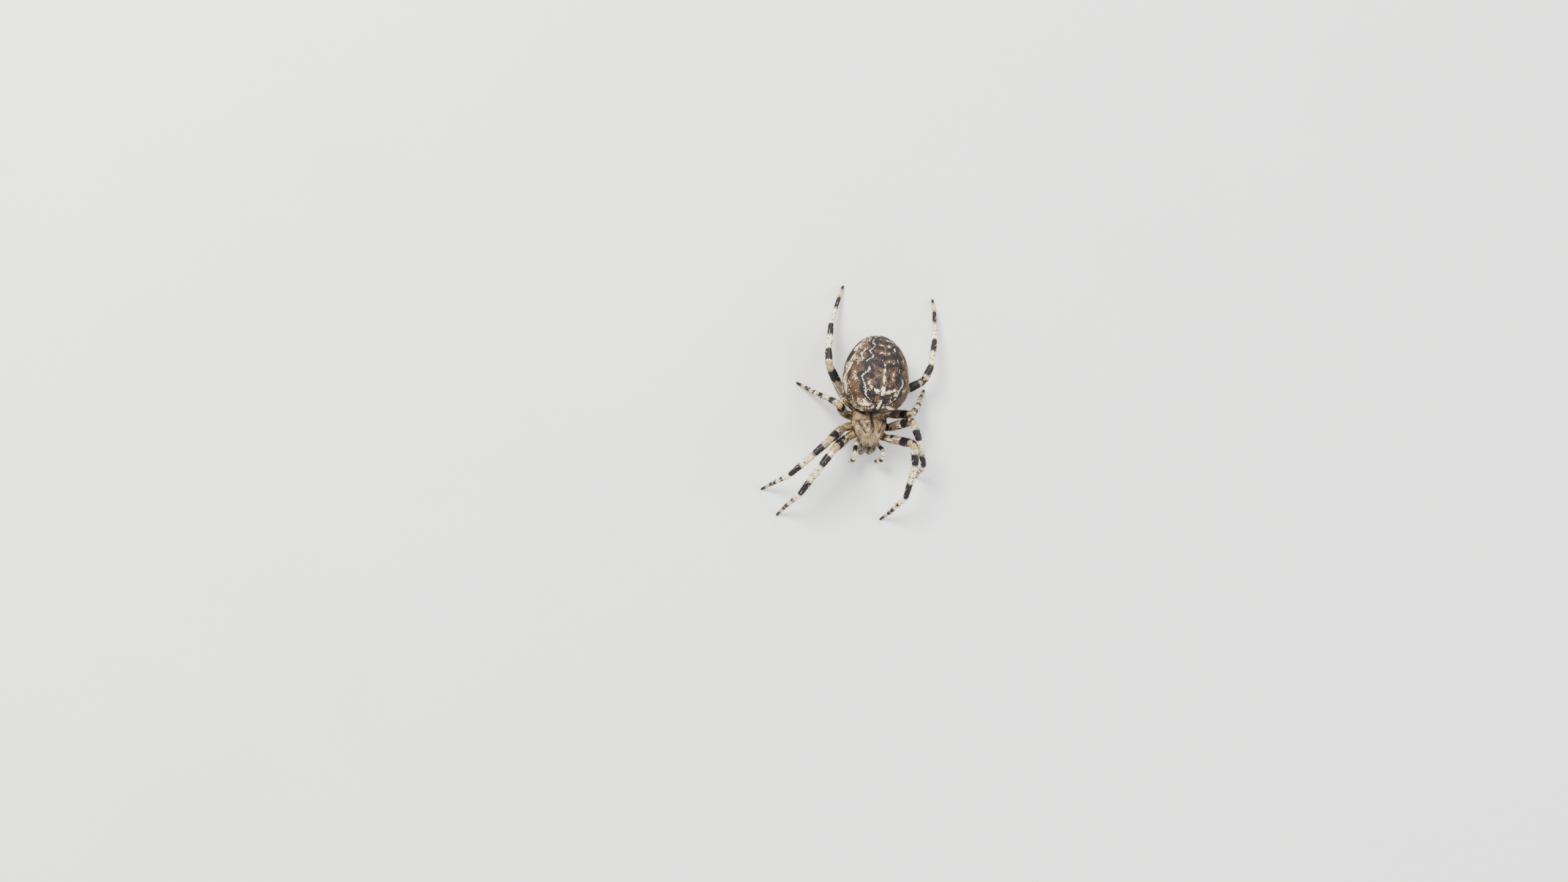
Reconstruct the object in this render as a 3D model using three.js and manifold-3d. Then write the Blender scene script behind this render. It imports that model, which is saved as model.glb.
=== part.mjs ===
// Cross orb weaver (Araneus diadematus), adult female, standing on its eight feet.
// Millimetres, +Z up, head toward -Y, the spider's left side toward +X, feet on z = 0.
import * as THREE from 'three';
import { mergeVertices } from 'three/addons/utils/BufferGeometryUtils.js';
import Module from 'manifold-3d';

const wasm = await Module();
wasm.setup();

// ---------------------------------------------------------------- driving dimensions
const CUT = 0.04; // clear gap between neighbouring sub-parts
const SLIVER = 0.008; // facets that stand out less than this are merged
const LEG_SIDES = 9; // facets round a leg's upper segments
const SMALL_SIDES = 8; // and round a foot, a palp, a spinneret or an eye
const SOLE_HEIGHT = 0.19; // centre of a foot's rounded tip above the floor
const FOOT_RADIUS = 0.27;

const HIP_HEIGHT = 3.0; // centre of every coxa above the floor
const RIM_HEIGHT = 3.65; // lower edge of the carapace

const UPPER_SEGMENTS = ['femur', 'patella', 'tibia'];
const METATARSUS = 3; // its place in a leg, and the tarsus comes after it
const TARSUS = 4;

// Segment lengths, hip place (sideways, backward) and coxa root for each pair of legs.
const LEG_PAIRS = {
  1: { lengths: [5.4, 2.7, 4.5, 4.4, 1.6], hip: [2.45, -2.0], root: [0.72, -1.0] },
  2: { lengths: [5.0, 2.5, 4.0, 4.0, 1.55], hip: [2.9, -0.75], root: [0.98, -0.36] },
  3: { lengths: [3.6, 1.6, 2.3, 2.3, 1.25], hip: [2.75, 0.95], root: [0.98, 0.38] },
  4: { lengths: [5.0, 2.2, 3.7, 3.9, 1.6], hip: [2.7, 2.75], root: [0.66, 1.06] },
};

// Radii at each joint of a leg, hip to toe, and how much each segment swells between them.
const JOINT_RADII = [0.5, 0.46, 0.42, 0.34, 0.28, FOOT_RADIUS];
const SWELL = [1.22, 1.08, 1.08, 0.98, 1.0];
const PAIR_STOUTNESS = { 1: 1.05, 2: 1.0, 3: 0.92, 4: 1.0 };
const COXA = { rootRadius: 0.52, hipRadius: 0.5, swell: 1.12 };

// The stance: [heading, pitch] in degrees for each segment. Heading 0 points to the head,
// 90 straight out to the leg's own side, 180 to the rear; pitch is upward from level.
// The metatarsus takes the pitch that brings its foot to the floor.
const STANCE = {
  L1: [[71, 66], [9, -15], [-9, -25], [-26, null], [-39, -56]],
  L2: [[118, 70], [21, -3], [22, -31], [30, null], [27, -70]],
  L3: [[87, 55], [119, -47], [128, -56], [136, null], [139, -45]],
  L4: [[117, 15], [150, -10], [164, -23], [172, null], [180, -24]],
  R1: [[67, 56], [38, -3], [32, -25], [29, null], [27, -56]],
  R2: [[62, 51], [48, -8], [46, -23], [51, null], [52, -55]],
  R3: [[125, 58], [130, -52], [128, -66], [125, null], [125, -41]],
  R4: [[148, 21], [184, -22], [195, -28], [203, null], [207, -22]],
};

const ABDOMEN = {
  pedicel: [0, 2.3], // where it turns
  yawDegrees: 10, // toward the spider's left
  front: 0.95,
  rear: 10.5,
  width: 8.2,
  frontHeight: 5.6, // of its foremost and rearmost points above the floor
  rearHeight: 4.7,
  rise: 3.8, // back above that line
  drop: 3.75, // belly below it
};

const CARAPACE = {
  front: -3.05,
  rear: 2.5,
  thoraxWidth: 4.5,
  headWidth: 2.5,
  widestHeight: 4.0, // of its widest line above the floor
  height: 5.75,
};

const STERNUM = { front: -1.3, rear: 1.45, halfWidth: 1.0, bottom: 2.4, bevel: 0.15 };

// Mouthparts of the left side, and the stalk between the two halves of the body.
const CHELICERA = { root: [0.62, -2.8, 3.87], tip: [0.5, -3.72, 2.5], radii: [0.52, 0.4], swell: 1.22 };
const MAXILLA = { root: [0.62, -1.66, 2.85], tip: [0.44, -2.15, 2.75], radii: [0.36, 0.33], swell: 1.05 };
const PALP = {
  joints: [[1.2, -2.5, 3.05], [1.8, -3.55, 4.3], [1.88, -4.2, 4.1], [1.8, -4.75, 3.3], [1.6, -4.85, 1.9]],
  radii: [0.27, 0.3, 0.3, 0.32, 0.25],
  swells: [1.0, 1.0, 1.05, 1.0],
};
const PEDICEL = { front: [0, 2.2, 4.0], rear: [0.15, 3.3, 3.8], radius: 0.42 };

// The eyes are half sunk in the carapace. along is the share of its length from the front,
// degrees the angle up from level round its section.
const EYES = {
  anterior_median: { along: 0.012, degrees: 60, radius: 0.13 },
  posterior_median: { along: 0.055, degrees: 70, radius: 0.12 },
  anterior_lateral: { along: 0.032, degrees: 14, radius: 0.1 },
  posterior_lateral: { along: 0.062, degrees: 22, radius: 0.1 },
};

const MATERIALS = {
  leg: { color: 0x8a6f4e, roughness: 0.55, metalness: 0 },
  trunk: { color: 0x3b2a1f, roughness: 0.6, metalness: 0 },
  shell: { color: 0x1f1713, roughness: 0.35, metalness: 0 },
  eye: { color: 0x050505, roughness: 0.08, metalness: 0 },
};

// ---------------------------------------------------------------- solids and booleans
function toSolid(geometry) {
  const bare = geometry.clone();
  bare.deleteAttribute('normal');
  bare.deleteAttribute('uv');
  const welded = mergeVertices(bare, 1e-4);
  return new wasm.Manifold(new wasm.Mesh({
    numProp: 3,
    vertProperties: new Float32Array(welded.attributes.position.array),
    triVerts: new Uint32Array(welded.index.array),
  }));
}

function toGeometry(solid) {
  const mesh = solid.getMesh();
  const geometry = new THREE.BufferGeometry();
  geometry.setAttribute('position', new THREE.BufferAttribute(mesh.vertProperties, 3));
  geometry.setIndex(new THREE.BufferAttribute(mesh.triVerts, 1));
  geometry.computeVertexNormals();
  return geometry;
}

// Keeps what lies on the side of the plane that the normal points to.
function keepSide(solid, normal, point, gap) {
  return solid.trimByPlane(normal.toArray(), normal.dot(point) + gap);
}

function makeMesh(name, solid, materialName) {
  const mesh = new THREE.Mesh(
    toGeometry(solid.simplify(SLIVER)),
    new THREE.MeshStandardMaterial(MATERIALS[materialName]),
  );
  mesh.name = name;
  return mesh;
}

// A unit sphere with its poles on the Y axis, each vertex moved to shape(t, side, up):
// t runs from 0 at the front pole to 1 at the rear, side and up are the unit section.
function shapedSphere(around, along, shape) {
  const geometry = new THREE.SphereGeometry(1, around, along);
  const position = geometry.attributes.position;
  for (let i = 0; i < position.count; i += 1) {
    const y = THREE.MathUtils.clamp(position.getY(i), -1, 1);
    const ring = Math.sqrt(1 - y * y);
    const onAxis = ring < 1e-6;
    const side = onAxis ? 0 : position.getX(i) / ring;
    const up = onAxis ? 0 : -position.getZ(i) / ring;
    position.setXYZ(i, ...shape((1 - y) / 2, side, up));
  }
  return toSolid(geometry);
}

// A rounded spindle along +Y: round ends about 0 and length, radii at both and a swell.
function spindle(length, startRadius, endRadius, swell, sides = LEG_SIDES) {
  const middle = swell * (startRadius + endRadius) / 2;
  const CAP = Math.SQRT1_2;
  const profile = [
    [0, -startRadius],
    [CAP * startRadius, -CAP * startRadius],
    [startRadius, 0],
    ...(swell === 1 ? [] : [[middle, length * 0.4]]),
    [endRadius, length],
    [CAP * endRadius, length + CAP * endRadius],
    [0, length + endRadius],
  ];
  const points = profile.map(([radius, y]) => new THREE.Vector2(radius, y));
  return toSolid(new THREE.LatheGeometry(points, sides));
}

// The same spindle laid between two points of the body frame.
function spindleBetween(start, end, startRadius, endRadius, swell, sides = LEG_SIDES) {
  const from = new THREE.Vector3(...start);
  const along = new THREE.Vector3(...end).sub(from);
  const turn = new THREE.Quaternion().setFromUnitVectors(
    new THREE.Vector3(0, 1, 0),
    along.clone().normalize(),
  );
  const place = new THREE.Matrix4().compose(from, turn, new THREE.Vector3(1, 1, 1));
  return spindle(along.length(), startRadius, endRadius, swell, sides).transform(place.elements);
}

function ball(centre, radius) {
  const geometry = new THREE.SphereGeometry(radius, SMALL_SIDES, SMALL_SIDES - 3);
  geometry.translate(...centre);
  return toSolid(geometry);
}

// ---------------------------------------------------------------- legs
const DEGREE = Math.PI / 180;

function direction(heading, pitch, side) {
  const level = Math.cos(pitch * DEGREE);
  return new THREE.Vector3(
    side * level * Math.sin(heading * DEGREE),
    -level * Math.cos(heading * DEGREE),
    Math.sin(pitch * DEGREE),
  );
}

// Joints from hip to toe. The metatarsus drops what is left between its ankle and the foot.
function legJoints(pair, stance, side) {
  const { lengths, hip } = LEG_PAIRS[pair];
  const joints = [new THREE.Vector3(side * hip[0], hip[1], HIP_HEIGHT)];
  stance.forEach(([heading, statedPitch], i) => {
    let pitch = statedPitch;
    if (pitch === null) {
      const tarsusDrop = -lengths[i + 1] * Math.sin(stance[i + 1][1] * DEGREE);
      const drop = joints[i].z - SOLE_HEIGHT - tarsusDrop;
      pitch = -Math.asin(drop / lengths[i]) / DEGREE;
    }
    joints.push(joints[i].clone().addScaledVector(direction(heading, pitch, side), lengths[i]));
  });
  return joints;
}

// The plane that halves the bend between two segments, as a unit normal pointing onward.
function bendNormal(before, joint, after) {
  const arriving = joint.clone().sub(before).normalize();
  const leaving = after.clone().sub(joint).normalize();
  return arriving.add(leaving).normalize();
}

// One segment in its own frame, along +Y, cut at both bends. No cut parts the metatarsus
// from the tarsus, which make one foot.
function legSegment(joints, index, radii) {
  const start = joints[index];
  const end = joints[index + 1];
  const length = start.distanceTo(end);
  const turn = new THREE.Quaternion().setFromUnitVectors(
    new THREE.Vector3(0, 1, 0),
    end.clone().sub(start).normalize(),
  );
  const back = turn.clone().invert();
  const sides = index < METATARSUS ? LEG_SIDES : SMALL_SIDES;
  let solid = spindle(length, radii[index], radii[index + 1], SWELL[index], sides);

  if (index <= METATARSUS) {
    const startNormal = bendNormal(joints[index - 1] ?? joints.root, start, end);
    solid = keepSide(solid, startNormal.applyQuaternion(back), new THREE.Vector3(), CUT / 2);
  }
  if (index < METATARSUS) {
    const endNormal = bendNormal(start, end, joints[index + 2]).negate();
    endNormal.applyQuaternion(back);
    solid = keepSide(solid, endNormal, new THREE.Vector3(0, length, 0), CUT / 2);
  }
  return { solid, start, turn };
}

// Cuts a solid, given in its own turned frame, off flat at the floor.
function cutAtFloor({ solid, start, turn }) {
  const upward = new THREE.Vector3(0, 0, 1).applyQuaternion(turn.clone().invert());
  return solid.trimByPlane(upward.toArray(), -start.z);
}

function placed(mesh, start, turn) {
  mesh.position.copy(start);
  mesh.quaternion.copy(turn);
  return mesh;
}

// The coxa, with its trochanter, runs level from the sternum's edge to the hip.
function coxa(pair, side, joints, sternumGrown) {
  const root = rootPoint(pair, side);
  const { rootRadius, hipRadius, swell } = COXA;
  let solid = spindleBetween(root.toArray(), joints[0].toArray(), rootRadius, hipRadius, swell);
  solid = solid.subtract(sternumGrown);
  solid = keepSide(solid, new THREE.Vector3(0, 0, -1), new THREE.Vector3(0, 0, RIM_HEIGHT), CUT);
  const hipNormal = bendNormal(root, joints[0], joints[1]).negate();
  solid = keepSide(solid, hipNormal, joints[0], CUT / 2);
  for (const neighbour of [pair - 1, pair + 1]) {
    if (LEG_PAIRS[neighbour]) {
      const [normal, point] = partingPlane(pair, neighbour, side);
      solid = keepSide(solid, normal, point, CUT / 2);
    }
  }
  // The two halves of the body meet no coxa across the middle line.
  return keepSide(solid, new THREE.Vector3(side, 0, 0), new THREE.Vector3(), CUT / 2);
}

function rootPoint(pair, side) {
  const [sideways, backward] = LEG_PAIRS[pair].root;
  return new THREE.Vector3(side * sideways, backward, HIP_HEIGHT);
}

// The upright plane midway between two neighbouring coxae, its normal toward the first.
function partingPlane(pair, neighbour, side) {
  const hipOf = (n) => new THREE.Vector3(side * LEG_PAIRS[n].hip[0], LEG_PAIRS[n].hip[1], 0);
  const inner = rootPoint(pair, side).add(rootPoint(neighbour, side)).multiplyScalar(0.5);
  const outer = hipOf(pair).add(hipOf(neighbour)).multiplyScalar(0.5);
  const along = outer.clone().sub(inner).setZ(0).normalize();
  const normal = new THREE.Vector3(-along.y, along.x, 0);
  if (normal.dot(hipOf(pair).sub(outer)) < 0) {
    normal.negate();
  }
  return [normal, inner];
}

function addLeg(spider, name, sternumGrown) {
  const side = name[0] === 'L' ? 1 : -1;
  const pair = Number(name[1]);
  const joints = legJoints(pair, STANCE[name], side);
  joints.root = rootPoint(pair, side);
  const radii = JOINT_RADII.map((radius, i) => (i < 4 ? radius * PAIR_STOUTNESS[pair] : radius));

  const coxaSolid = coxa(pair, side, joints, sternumGrown);
  spider.add(makeMesh(`leg_${name}_coxa`, coxaSolid, 'leg'));
  UPPER_SEGMENTS.forEach((segmentName, i) => {
    const piece = legSegment(joints, i, radii);
    const mesh = makeMesh(`leg_${name}_${segmentName}`, piece.solid, 'leg');
    spider.add(placed(mesh, piece.start, piece.turn));
  });
  // The foot is joined in the metatarsus's frame.
  const shank = legSegment(joints, METATARSUS, radii);
  const toe = legSegment(joints, TARSUS, radii);
  const toSpider = new THREE.Matrix4().compose(toe.start, toe.turn, new THREE.Vector3(1, 1, 1));
  const toShank = new THREE.Matrix4()
    .compose(shank.start, shank.turn, new THREE.Vector3(1, 1, 1))
    .invert()
    .multiply(toSpider);
  const foot = shank.solid.add(toe.solid.transform(toShank.elements));
  const soled = cutAtFloor({ solid: foot, start: shank.start, turn: shank.turn });
  spider.add(placed(makeMesh(`leg_${name}_foot`, soled, 'leg'), shank.start, shank.turn));
  return coxaSolid;
}

// ---------------------------------------------------------------- trunk
// Rises from 0 at both ends to 1 at the place called peak; squareness above 1 fills it out.
function fullness(t, peak, squareness) {
  const bend = Math.log(0.5) / Math.log(peak);
  const u = Math.abs(2 * t ** bend - 1);
  return Math.max(0, 1 - u ** (2 * squareness)) ** 0.5;
}

function makeAbdomen() {
  const length = ABDOMEN.rear - ABDOMEN.front;
  const shape = (t, side, up) => {
    const widthHere = ABDOMEN.width / 2 * fullness(t, 0.42, 1.05);
    const riseHere = ABDOMEN.rise * fullness(t, 0.36, 1.05);
    // The belly leaves the overhanging front slowly, to clear the pedicel.
    const slowness = THREE.MathUtils.lerp(2, 1, Math.min(1, 2 * t));
    const dropHere = ABDOMEN.drop * fullness(t, 0.6, 1.1) ** slowness;
    const axisHeight = THREE.MathUtils.lerp(ABDOMEN.frontHeight, ABDOMEN.rearHeight, t);
    // The shoulders stand out a little on each side of the front third.
    const shoulder = Math.exp(-(((t - 0.3) / 0.13) ** 2) - (((up - 0.62) / 0.4) ** 2));
    // Below, its front draws in to the pedicel.
    const waist = 1 + 0.45 * Math.min(0, up) * (1 - t) ** 2;
    const x = side * widthHere * (1 + 0.05 * shoulder) * waist;
    const z = axisHeight + up * (up > 0 ? riseHere * (1 + 0.04 * shoulder) : dropHere);
    return [x, ABDOMEN.front + length * t, z];
  };
  const solid = shapedSphere(24, 16, shape);
  const [px, py] = ABDOMEN.pedicel;
  return solid.translate([-px, -py, 0]).rotate([0, 0, -ABDOMEN.yawDegrees]).translate([px, py, 0]);
}

// A point of the abdomen's own straight frame, turned with it.
function onAbdomen(x, y, z) {
  const [px, py] = ABDOMEN.pedicel;
  const turned = new THREE.Vector2(x - px, y - py)
    .rotateAround(new THREE.Vector2(), -ABDOMEN.yawDegrees * DEGREE);
  return [turned.x + px, turned.y + py, z];
}

// Two pairs of cones round a small middle one, pointing down and back, and the anal tubercle.
// Each is [sideways, backward, height] of its root, then of its tip, then both radii.
const SPINNERETS = {
  middle: [[0, 8.65, 2.6], [0, 8.8, 1.35], 0.5, 0.32],
  front_left: [[0.42, 8.35, 2.4], [0.36, 8.6, 1.05], 0.42, 0.28],
  front_right: [[-0.42, 8.35, 2.4], [-0.36, 8.6, 1.05], 0.42, 0.28],
  rear_left: [[0.4, 8.85, 2.6], [0.36, 9.2, 1.3], 0.4, 0.28],
  rear_right: [[-0.4, 8.85, 2.6], [-0.36, 9.2, 1.3], 0.4, 0.28],
  anal_tubercle: [[0, 9.05, 2.8], [0, 9.45, 1.75], 0.4, 0.3],
};

function makeSpinnerets(abdomenGrown) {
  return Object.values(SPINNERETS)
    .map(([root, tip, rootRadius, tipRadius]) => (
      spindleBetween(onAbdomen(...root), onAbdomen(...tip), rootRadius, tipRadius, 1.0, SMALL_SIDES)
    ))
    .reduce((cluster, cone) => cluster.add(cone))
    .subtract(abdomenGrown);
}

// The low shield over the legs: broad thorax behind, narrower raised head in front, with a
// small knob on each side of the head for the lateral eyes.
function carapaceSurface(t, side, up) {
  const length = CARAPACE.rear - CARAPACE.front;
  const rim = CARAPACE.widestHeight;
  const thorax = CARAPACE.thoraxWidth / 2 * fullness(t, 0.62, 1.25);
  const head = CARAPACE.headWidth / 2 * fullness(t, 0.35, 2.2);
  const knob = 0.1 * Math.exp(-(((t - 0.045) / 0.03) ** 2) - (((up - 0.3) / 0.25) ** 2));
  const x = Math.sign(side) * (Math.abs(side) ** 0.85 * Math.max(thorax, head) + knob * Math.abs(side));
  const crown = 0.86 + 0.14 * Math.cos((t - 0.27) * Math.PI * 1.5);
  const fovea = 0.2 * Math.exp(-(((t - 0.62) / 0.1) ** 2) - ((side / 0.35) ** 2));
  const heightHere = (CARAPACE.height - rim) * fullness(t, 0.36, 1.35) * crown;
  const z = rim + up * (up > 0 ? heightHere - fovea : 0.5);
  return [x, CARAPACE.front + length * t, z];
}

function makeCarapace() {
  const whole = shapedSphere(20, 14, carapaceSurface);
  return keepSide(whole, new THREE.Vector3(0, 0, 1), new THREE.Vector3(0, 0, RIM_HEIGHT), 0);
}

function eyeCentre({ along, degrees }, side) {
  return carapaceSurface(along, side * Math.cos(degrees * DEGREE), Math.sin(degrees * DEGREE));
}

// Heart-shaped plate under the body, with the labium in front; grown on all sides by grow.
function makeSternum(grow) {
  const { front, rear, halfWidth, bottom, bevel } = STERNUM;
  const outline = new THREE.Shape();
  outline.moveTo(0, rear + grow);
  outline.quadraticCurveTo(halfWidth * 0.75 + grow, rear * 0.7, halfWidth + grow, 0);
  outline.quadraticCurveTo(halfWidth + grow, front * 0.8, halfWidth * 0.45 + grow, front - grow);
  outline.lineTo(-halfWidth * 0.45 - grow, front - grow);
  outline.quadraticCurveTo(-halfWidth - grow, front * 0.8, -halfWidth - grow, 0);
  outline.quadraticCurveTo(-halfWidth * 0.75 - grow, rear * 0.7, 0, rear + grow);
  const geometry = new THREE.ExtrudeGeometry(outline, {
    depth: RIM_HEIGHT - CUT - bottom - bevel + grow * 2,
    bevelEnabled: true,
    bevelThickness: bevel,
    bevelSize: bevel,
    bevelOffset: -bevel,
    bevelSegments: 1,
    curveSegments: 6,
  });
  geometry.translate(0, 0, bottom + bevel - grow);
  const plate = toSolid(geometry);
  return grow > 0 ? plate : keepSide(
    plate,
    new THREE.Vector3(0, 0, -1),
    new THREE.Vector3(0, 0, RIM_HEIGHT),
    CUT,
  );
}

function onSide([x, y, z], side) {
  return [side * x, y, z];
}

function makeChelicera(side, grow) {
  const { root, tip, radii, swell } = CHELICERA;
  const [rootRadius, tipRadius] = radii.map((radius) => radius + grow);
  const solid = spindleBetween(onSide(root, side), onSide(tip, side), rootRadius, tipRadius, swell);
  return keepSide(solid, new THREE.Vector3(side, 0, 0), new THREE.Vector3(), CUT / 2 - grow);
}

// The maxilla lies between the labium and the first coxa, in front of the sternum.
function makeMaxilla(side, neighboursGrown) {
  const { root, tip, radii, swell } = MAXILLA;
  const solid = spindleBetween(onSide(root, side), onSide(tip, side), ...radii, swell);
  const halved = keepSide(solid, new THREE.Vector3(side, 0, 0), new THREE.Vector3(), CUT / 2);
  return neighboursGrown.reduce((left, neighbour) => left.subtract(neighbour), halved);
}

// Palp: four segments from beside the maxilla, forward and up, then down before the face.
function makePalp(side) {
  const { radii, swells } = PALP;
  const joints = PALP.joints.map((joint) => onSide(joint, side));
  return swells
    .map((swell, i) => (
      spindleBetween(joints[i], joints[i + 1], radii[i], radii[i + 1], swell, SMALL_SIDES)
    ))
    .reduce((palp, segment) => palp.add(segment));
}

function makePedicel(carapaceGrown, abdomenGrown, sternumGrown) {
  const { front, rear, radius } = PEDICEL;
  return spindleBetween(front, rear, radius, radius, 1.0)
    .subtract(carapaceGrown)
    .subtract(abdomenGrown)
    .subtract(sternumGrown);
}

// ---------------------------------------------------------------- assembly
// A solid a little larger than the given one, about its own middle, to leave a cut round it.
function grown(solid, by) {
  const { min, max } = solid.boundingBox();
  const middle = min.map((low, i) => (low + max[i]) / 2);
  const scale = min.map((low, i) => 1 + 2 * by / (max[i] - low));
  return solid
    .translate(middle.map((value) => -value))
    .scale(scale)
    .translate(middle);
}

const spider = new THREE.Group();

const sternumGrown = makeSternum(CUT);
spider.add(makeMesh('sternum', makeSternum(0), 'shell'));
const coxae = {};
for (const name of Object.keys(STANCE)) {
  coxae[name] = addLeg(spider, name, sternumGrown);
}

const abdomen = makeAbdomen();
const abdomenGrown = grown(abdomen, CUT);
spider.add(makeMesh('spinnerets', makeSpinnerets(abdomenGrown), 'trunk'));

let carapace = makeCarapace().subtract(abdomenGrown);
for (const [side, letter] of [[1, 'L'], [-1, 'R']]) {
  const maxillaNeighbours = [
    sternumGrown,
    grown(coxae[`${letter}1`], CUT),
    makeChelicera(side, CUT),
  ];
  spider.add(makeMesh(`chelicera_${letter}`, makeChelicera(side, 0), 'shell'));
  spider.add(makeMesh(`maxilla_${letter}`, makeMaxilla(side, maxillaNeighbours), 'shell'));
  spider.add(makeMesh(`palp_${letter}`, makePalp(side), 'leg'));
  carapace = carapace.subtract(makeChelicera(side, CUT));
  for (const [name, eye] of Object.entries(EYES)) {
    const centre = eyeCentre(eye, side);
    spider.add(makeMesh(`eye_${name}_${letter}`, ball(centre, eye.radius), 'eye'));
    carapace = carapace.subtract(ball(centre, eye.radius + CUT));
  }
}
spider.add(makeMesh('carapace', carapace, 'trunk'));
spider.add(makeMesh('abdomen', abdomen, 'trunk'));
const carapaceGrown = grown(makeCarapace(), CUT);
spider.add(makeMesh('pedicel', makePedicel(carapaceGrown, abdomenGrown, sternumGrown), 'trunk'));

// The origin is the middle of the footprint.
const group = new THREE.Group();
group.add(spider);
const middle = new THREE.Box3().setFromObject(spider, true).getCenter(new THREE.Vector3());
spider.position.set(-middle.x, -middle.y, 0);

export default group;
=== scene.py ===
"""A cross orb weaver, adult female, as a still life-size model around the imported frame.

Shapes are worked out in millimetres in the spider's own frame: head toward -Y, the spider's left
toward +X, feet on z = 0. to_row() takes them to the row frame in metres.
"""

import bpy
import numpy as np
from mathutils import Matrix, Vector


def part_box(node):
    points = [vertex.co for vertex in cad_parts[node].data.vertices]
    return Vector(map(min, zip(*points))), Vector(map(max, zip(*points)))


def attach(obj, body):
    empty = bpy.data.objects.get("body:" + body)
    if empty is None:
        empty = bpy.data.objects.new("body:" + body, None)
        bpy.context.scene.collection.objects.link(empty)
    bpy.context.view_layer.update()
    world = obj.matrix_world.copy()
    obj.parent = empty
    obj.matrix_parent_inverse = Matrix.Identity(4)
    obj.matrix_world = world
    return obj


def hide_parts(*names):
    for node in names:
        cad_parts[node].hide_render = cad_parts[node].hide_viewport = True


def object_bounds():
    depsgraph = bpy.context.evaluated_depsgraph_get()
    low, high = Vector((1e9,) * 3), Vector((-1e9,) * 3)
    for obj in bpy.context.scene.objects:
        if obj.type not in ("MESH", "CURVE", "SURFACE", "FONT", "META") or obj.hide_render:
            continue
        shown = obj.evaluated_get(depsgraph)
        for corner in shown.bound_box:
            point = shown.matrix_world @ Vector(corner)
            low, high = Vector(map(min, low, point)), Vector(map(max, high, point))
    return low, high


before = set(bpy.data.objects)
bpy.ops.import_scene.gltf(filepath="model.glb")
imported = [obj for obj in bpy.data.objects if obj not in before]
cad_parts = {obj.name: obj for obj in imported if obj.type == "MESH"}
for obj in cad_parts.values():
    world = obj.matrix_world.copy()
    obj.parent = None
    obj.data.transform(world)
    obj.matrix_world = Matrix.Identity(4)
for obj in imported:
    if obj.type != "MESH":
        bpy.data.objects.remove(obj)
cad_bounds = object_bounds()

scene = bpy.context.scene
MM = 0.001
SEED = 7

# -------- driving dimensions, mm
HIP_HEIGHT = 3.0  # centre of every coxa above the floor
RIM_HEIGHT = 3.65  # lower edge of the carapace
SOLE_HEIGHT = 0.19  # centre of a solid foot's rounded tip
COAT = 0.06  # how far the skin lies inside the solids, for the short hairs

SEGMENTS = ("coxa", "femur", "patella", "tibia", "metatarsus", "tarsus")
# Segment lengths, hip (sideways, backward), coxa's root and stoutness of each pair of legs.
LEG_PAIRS = {
    1: dict(lengths=(5.4, 2.7, 4.5, 4.4, 1.6), hip=(2.45, -2.0), root=(0.72, -1.0), stout=1.05),
    2: dict(lengths=(5.0, 2.5, 4.0, 4.0, 1.55), hip=(2.9, -0.75), root=(0.98, -0.36), stout=1.0),
    3: dict(lengths=(3.6, 1.6, 2.3, 2.3, 1.25), hip=(2.75, 0.95), root=(0.98, 0.38), stout=0.92),
    4: dict(lengths=(5.0, 2.2, 3.7, 3.9, 1.6), hip=(2.7, 2.75), root=(0.66, 1.06), stout=1.0),
}
LEG_RADII = (0.52, 0.5, 0.46, 0.42, 0.34, 0.28, 0.2)  # at each joint, from the sternum to the toe
STOUT_JOINTS = (2, 3, 4)  # those of them that take their pair's stoutness
SWELL = (1.12, 1.22, 1.08, 1.08, 0.98, 1.0)  # one for each of SEGMENTS

# (heading, pitch) in degrees of each segment after the coxa. Heading 0 points to the head, 90
# out to the leg's own side, 180 to the rear. The metatarsus's pitch brings its foot to the floor.
STANCE = {
    "L1": ((71, 66), (9, -15), (-9, -25), (-26, None), (-39, -56)),
    "L2": ((118, 70), (21, -3), (22, -31), (30, None), (27, -70)),
    "L3": ((87, 55), (119, -47), (128, -56), (136, None), (139, -45)),
    "L4": ((117, 15), (150, -10), (164, -23), (172, None), (180, -24)),
    "R1": ((67, 56), (38, -3), (32, -25), (29, None), (27, -56)),
    "R2": ((62, 51), (48, -8), (46, -23), (51, None), (52, -55)),
    "R3": ((125, 58), (130, -52), (128, -66), (125, None), (125, -41)),
    "R4": ((148, 21), (184, -22), (195, -28), (203, None), (207, -22)),
}

ABDOMEN = dict(
    pedicel=(0.0, 2.3), yaw=np.radians(10), front=0.95, rear=10.5, width=8.2,
    front_height=5.6, rear_height=4.7, rise=3.8, drop=3.75,
)
CARAPACE = dict(front=-3.05, rear=2.5, thorax_width=4.5, head_width=2.5, widest_height=4.0, height=5.75)
STERNUM = dict(front=-1.3, rear=1.45, half_width=1.0, bottom=2.4)
# Where each eye sits: share of the carapace from its front, degrees up from level, and radius.
EYES = {
    "anterior_median": (0.012, 60, 0.13),
    "posterior_median": (0.055, 70, 0.12),
    "anterior_lateral": (0.032, 14, 0.1),
    "posterior_lateral": (0.062, 22, 0.1),
}
SIDES = {"L": 1, "R": -1}


def find_origin():
    """The spider's own origin in the row frame: the sternum's box is centred across it."""
    low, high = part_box("sternum")
    sternum_middle = (STERNUM["front"] + STERNUM["rear"]) / 2
    return np.array([(low.x + high.x) / 2, (low.y + high.y) / 2 - MM * sternum_middle, 0.0])


SPIDER_ORIGIN = find_origin()


def to_row(points):
    return np.asarray(points) * MM + SPIDER_ORIGIN


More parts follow.
